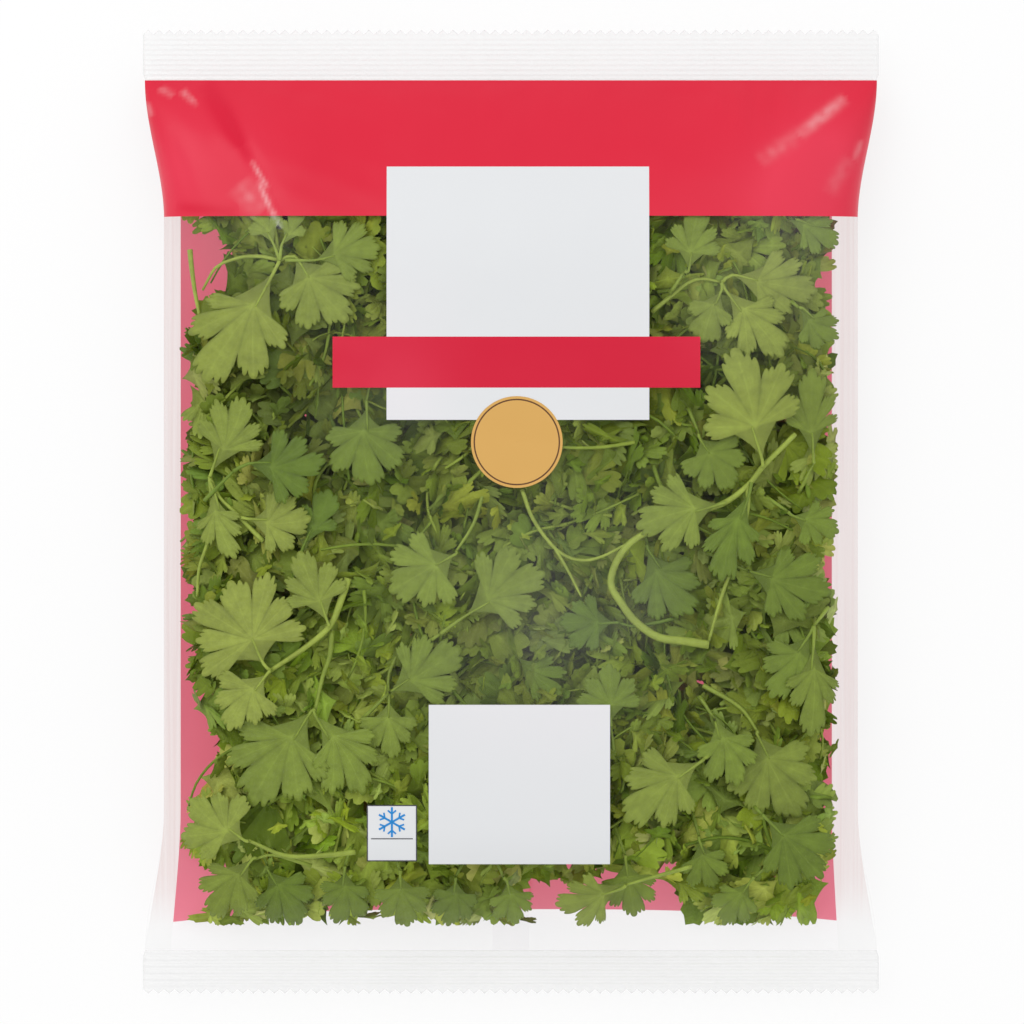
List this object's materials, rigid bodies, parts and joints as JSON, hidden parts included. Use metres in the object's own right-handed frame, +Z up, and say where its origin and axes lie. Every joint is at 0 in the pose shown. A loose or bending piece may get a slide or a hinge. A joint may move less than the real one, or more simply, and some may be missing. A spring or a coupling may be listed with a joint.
{
  "type": "bag of flat-leaf parsley",
  "caption": "Sealed clear pillow bag of cut flat-leaf parsley, with a red band, blank white panels and a crimped seal across each end.",
  "frame": {"origin": "on the floor, below the middle of the bag as it lies on its back", "axes": "+X across the bag, +Y along the bag towards the seal at the end with the red band, +Z up, out of the printed front"},
  "size_m": [0.2, 0.262, 0.0318],
  "materials": {
    "printed_film": "clear glossy film, printed red and white",
    "parsley_leaf": "satin leaf",
    "parsley_deep": "satin leaf, darker"
  },
  "bodies": {
    "root": {"bag_film": "printed_film", "inner_sprig_01": "parsley_deep", "inner_sprig_02": "parsley_deep", "inner_sprig_03": "parsley_deep", "inner_sprig_04": "parsley_deep", "inner_sprig_05": "parsley_deep", "inner_sprig_06": "parsley_deep", "inner_sprig_07": "parsley_deep", "inner_sprig_08": "parsley_deep", "inner_sprig_09": "parsley_deep", "inner_sprig_10": "parsley_deep", "inner_sprig_11": "parsley_deep", "inner_sprig_12": "parsley_deep", "sprig_band_edge": "parsley_leaf", "sprig_band_right": "parsley_leaf", "sprig_bottom_a": "parsley_leaf", "sprig_bottom_b": "parsley_leaf", "sprig_bottom_c": "parsley_leaf", "sprig_bottom_d": "parsley_leaf", "sprig_bottom_edge": "parsley_leaf", "sprig_bottom_inner": "parsley_leaf", "sprig_bottom_left": "parsley_leaf", "sprig_bottom_right": "parsley_leaf", "sprig_centre": "parsley_leaf", "sprig_centre_left": "parsley_leaf", "sprig_centre_low": "parsley_leaf", "sprig_corner_left": "parsley_leaf", "sprig_corner_low": "parsley_leaf", "sprig_corner_right": "parsley_leaf", "sprig_dark_centre": "parsley_leaf", "sprig_edge_upper": "parsley_leaf", "sprig_great_fan": "parsley_leaf", "sprig_hazy": "parsley_leaf", "sprig_inside_loop": "parsley_leaf", "sprig_label_left": "parsley_leaf", "sprig_left": "parsley_leaf", "sprig_left_dark": "parsley_leaf", "sprig_left_of_panel": "parsley_leaf", "sprig_looped": "parsley_leaf", "sprig_low_middle": "parsley_leaf", "sprig_low_right": "parsley_leaf", "sprig_lower_left": "parsley_leaf", "sprig_narrow": "parsley_leaf", "sprig_over_panel": "parsley_leaf", "sprig_panel_right": "parsley_leaf", "sprig_right": "parsley_leaf", "sprig_right_edge": "parsley_leaf", "sprig_right_lower": "parsley_leaf", "sprig_right_upper": "parsley_leaf", "sprig_right_upright": "parsley_leaf", "sprig_top_left": "parsley_leaf", "sprig_under_panel": "parsley_leaf"}
  },
  "joints": []
}
